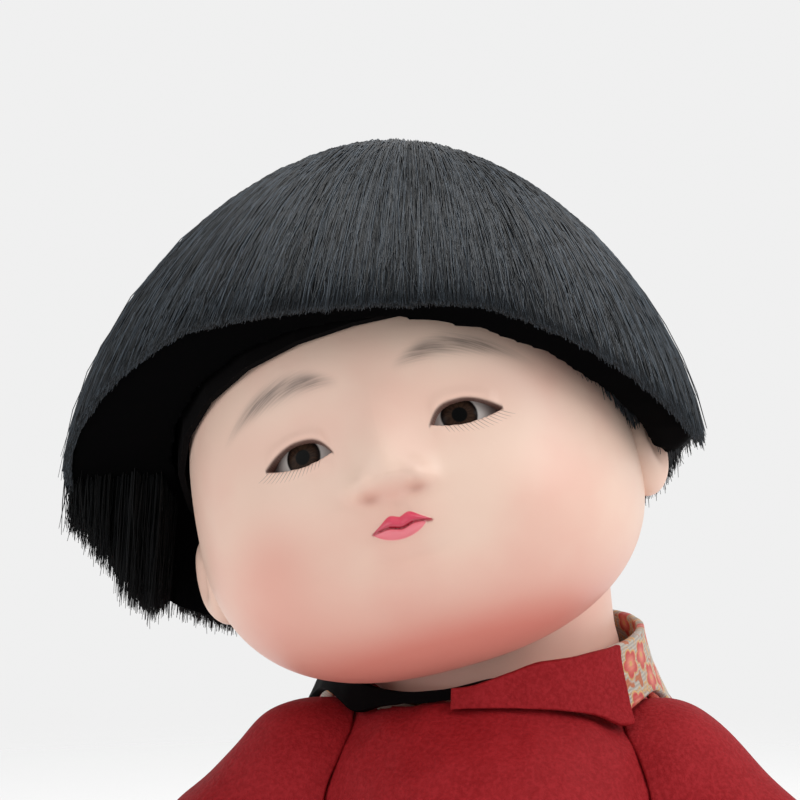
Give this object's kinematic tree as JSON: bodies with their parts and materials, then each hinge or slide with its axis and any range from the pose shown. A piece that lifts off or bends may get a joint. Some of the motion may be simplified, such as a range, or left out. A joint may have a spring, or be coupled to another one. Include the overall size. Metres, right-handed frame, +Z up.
{
  "type": "crawling baby doll",
  "caption": "Crawling baby doll in a red crepe robe with a brocade collar and sash; a lifted white face with glass eyes and a black bobbed wig, on jointed arms and legs.",
  "frame": {"origin": "middle of the doll's bounding box, on the floor it crawls on", "axes": "+Z up, -Y the way the doll faces, +X the doll's own left"},
  "size_m": [0.158, 0.2342, 0.2028],
  "materials": {
    "shell_white": "satin skin-coloured coat on wood composition",
    "eye_glass": "polished",
    "putty": "matte",
    "wood": "plain",
    "composition": "bare wood composition",
    "wire": "drawn",
    "hair": "combed silk floss",
    "cap_cloth": "matte",
    "cotton": "stuffed calico",
    "red_crepe": "crinkled crepe",
    "black_satin": "satin",
    "brocade": "woven brocade"
  },
  "bodies": {
    "torso": {"torso_back_half": "composition", "torso_belly_half": "composition", "neck_socket": "wood", "shoulder_axle": "wood", "hip_axle": "wood", "robe_bodice": "red_crepe", "robe_skirt": "red_crepe", "padded_hem": "black_satin", "left_lapel": "red_crepe", "right_lapel": "black_satin", "sash": "brocade", "bow_knot": "brocade", "left_bow_loop": "brocade", "right_bow_loop": "brocade", "left_bow_tail": "brocade", "right_bow_tail": "brocade", "black_collar": "black_satin", "red_collar": "red_crepe", "brocade_collar": "brocade"},
    "head": {"face_half": "shell_white", "head_back_half": "shell_white", "left_glass_eye": "eye_glass", "right_glass_eye": "eye_glass", "left_eye_bed": "putty", "right_eye_bed": "putty", "wig_cap": "cap_cloth", "hair_fringe": "hair", "hair_back": "hair", "hair_left": "hair", "hair_right": "hair", "neck": "shell_white", "neck_dowel": "wood"},
    "left_arm": {"left_upper_arm": "cotton", "left_arm_wire": "wire", "left_hand": "shell_white", "left_sleeve": "red_crepe"},
    "left_leg": {"left_thigh": "cotton", "left_leg_wire": "wire", "left_lower_leg": "shell_white"},
    "right_arm": {"right_upper_arm": "cotton", "right_arm_wire": "wire", "right_hand": "shell_white", "right_sleeve": "red_crepe"},
    "right_leg": {"right_thigh": "cotton", "right_leg_wire": "wire", "right_lower_leg": "shell_white"}
  },
  "joints": [
    {"name": "head_turn", "type": "hinge", "parent": "torso", "child": "head", "pos_m": [0.00191, -0.04985, 0.09803], "axis": [0, -0.2079, 0.9781], "range_deg": [-12, 12]},
    {"name": "left_arm_swing", "type": "hinge", "parent": "torso", "child": "left_arm", "pos_m": [0.00191, -0.06139, 0.07364], "axis": [1, 0, 0], "range_deg": [-20, 20]},
    {"name": "left_leg_swing", "type": "hinge", "parent": "torso", "child": "left_leg", "pos_m": [0.00191, 0.03034, 0.05032], "axis": [1, 0, 0], "range_deg": [-8, 8]},
    {"name": "right_arm_swing", "type": "hinge", "parent": "torso", "child": "right_arm", "pos_m": [0.00191, -0.06139, 0.07364], "axis": [1, 0, 0], "range_deg": [-20, 20]},
    {"name": "right_leg_swing", "type": "hinge", "parent": "torso", "child": "right_leg", "pos_m": [0.00191, 0.03034, 0.05032], "axis": [1, 0, 0], "range_deg": [-8, 8]}
  ]
}
